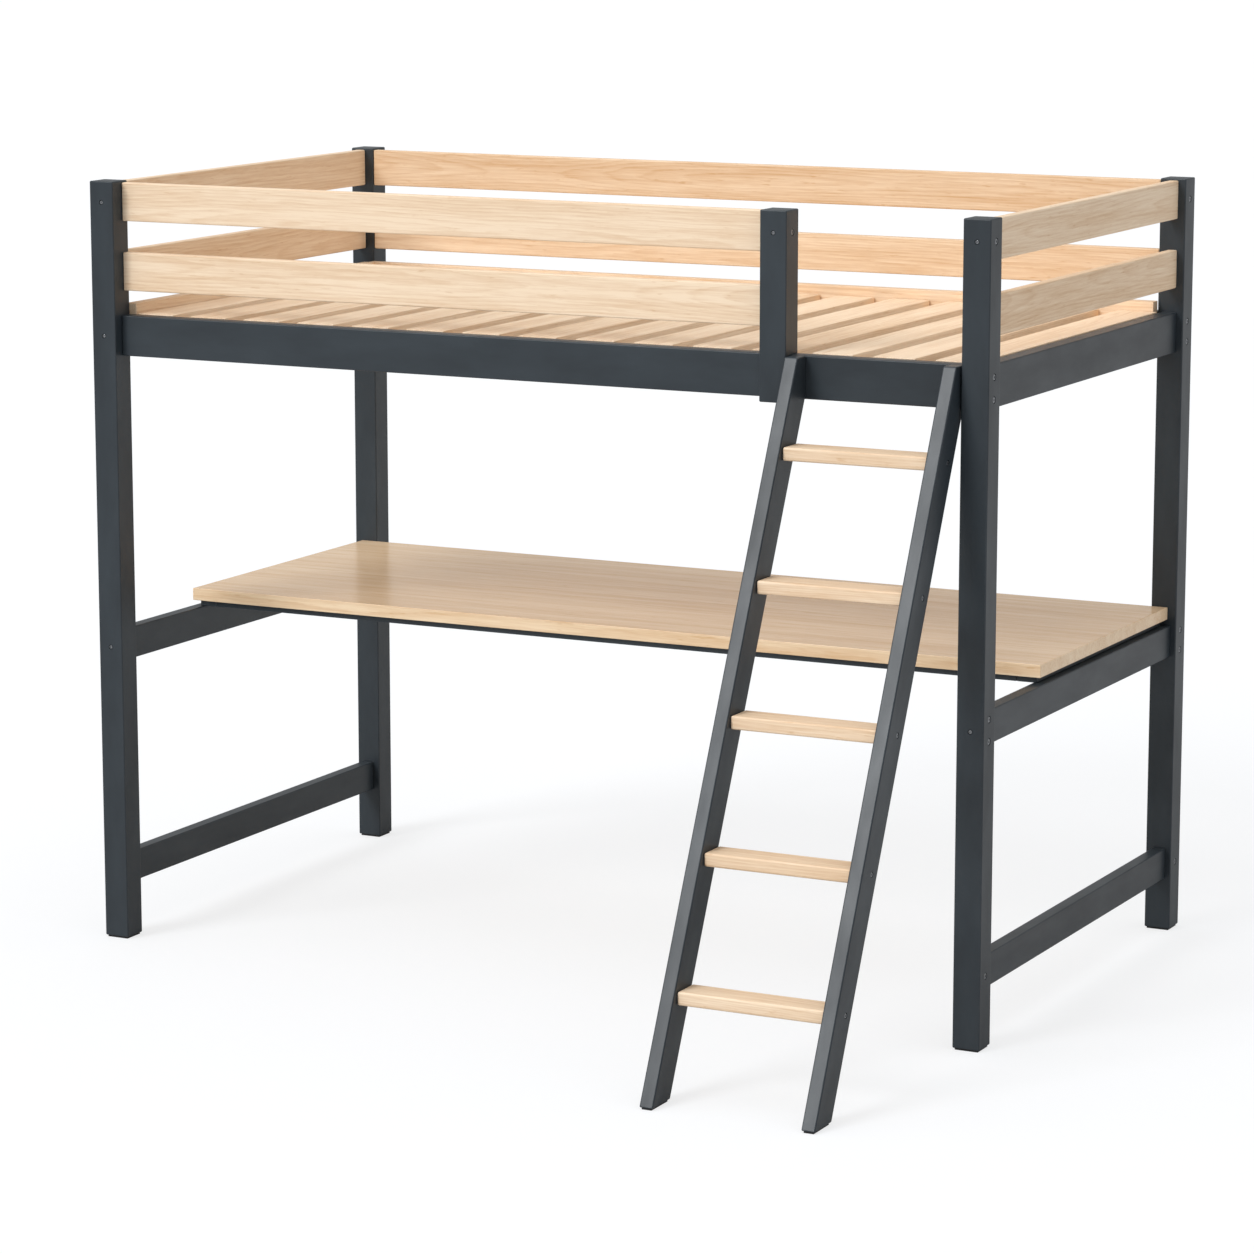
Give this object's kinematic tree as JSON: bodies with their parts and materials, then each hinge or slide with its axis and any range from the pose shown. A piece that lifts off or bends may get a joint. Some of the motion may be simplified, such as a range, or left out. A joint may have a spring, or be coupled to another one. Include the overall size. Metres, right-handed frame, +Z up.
{
  "type": "loft bed with desk",
  "caption": "High wooden loft bed with guard rails, a slatted base, a sloping ladder at one end and a full-length desk below.",
  "frame": {"origin": "on the floor, at the centre of the footprint of the bed and its ladder", "axes": "+X along the bed's length towards the ladder end, +Y from the ladder side to the back, +Z up"},
  "size_m": [2.14, 1.8744, 1.715],
  "materials": {
    "charcoal_paint": "charcoal satin lacquer over solid wood",
    "natural_wood": "clear satin lacquer over light wood",
    "desktop_wood": "clear satin lacquer over light wood",
    "foot_plastic": "black matt plastic",
    "hardware": "blackened steel"
  },
  "bodies": {
    "root": {"desk_batten_back": "charcoal_paint", "desk_batten_front": "charcoal_paint", "desk_batten_left": "charcoal_paint", "desk_batten_right": "charcoal_paint", "desk_rail_left": "charcoal_paint", "desk_rail_right": "charcoal_paint", "desktop": "desktop_wood", "edge_strip_back": "natural_wood", "edge_strip_left": "natural_wood", "end_rail_left": "charcoal_paint", "end_rail_right": "charcoal_paint", "floor_rail_left": "charcoal_paint", "floor_rail_right": "charcoal_paint", "foot_back_left": "foot_plastic", "foot_back_right": "foot_plastic", "foot_front_left": "foot_plastic", "foot_front_right": "foot_plastic", "guard_post": "charcoal_paint", "guard_rail_back_lower": "natural_wood", "guard_rail_back_upper": "natural_wood", "guard_rail_front_lower": "natural_wood", "guard_rail_front_upper": "natural_wood", "guard_rail_left_lower": "natural_wood", "guard_rail_left_upper": "natural_wood", "guard_rail_right_lower": "natural_wood", "guard_rail_right_upper": "natural_wood", "ladder_bolt_left": "hardware", "ladder_bolt_right": "hardware", "ladder_foot_left": "foot_plastic", "ladder_foot_right": "foot_plastic", "ladder_stile_left": "charcoal_paint", "ladder_stile_right": "charcoal_paint", "ladder_tread_1": "natural_wood", "ladder_tread_2": "natural_wood", "ladder_tread_3": "natural_wood", "ladder_tread_4": "natural_wood", "ladder_tread_5": "natural_wood", "post_back_left": "charcoal_paint", "post_back_right": "charcoal_paint", "post_front_left": "charcoal_paint", "post_front_right": "charcoal_paint", "side_rail_back": "charcoal_paint", "side_rail_front": "charcoal_paint", "slat_01": "natural_wood", "slat_02": "natural_wood", "slat_03": "natural_wood", "slat_04": "natural_wood", "slat_05": "natural_wood", "slat_06": "natural_wood", "slat_07": "natural_wood", "slat_08": "natural_wood", "slat_09": "natural_wood", "slat_10": "natural_wood", "slat_11": "natural_wood", "slat_12": "natural_wood", "slat_13": "natural_wood", "slat_14": "natural_wood", "slat_15": "natural_wood", "slat_ledge_back": "natural_wood", "slat_ledge_front": "natural_wood"}
  },
  "joints": []
}
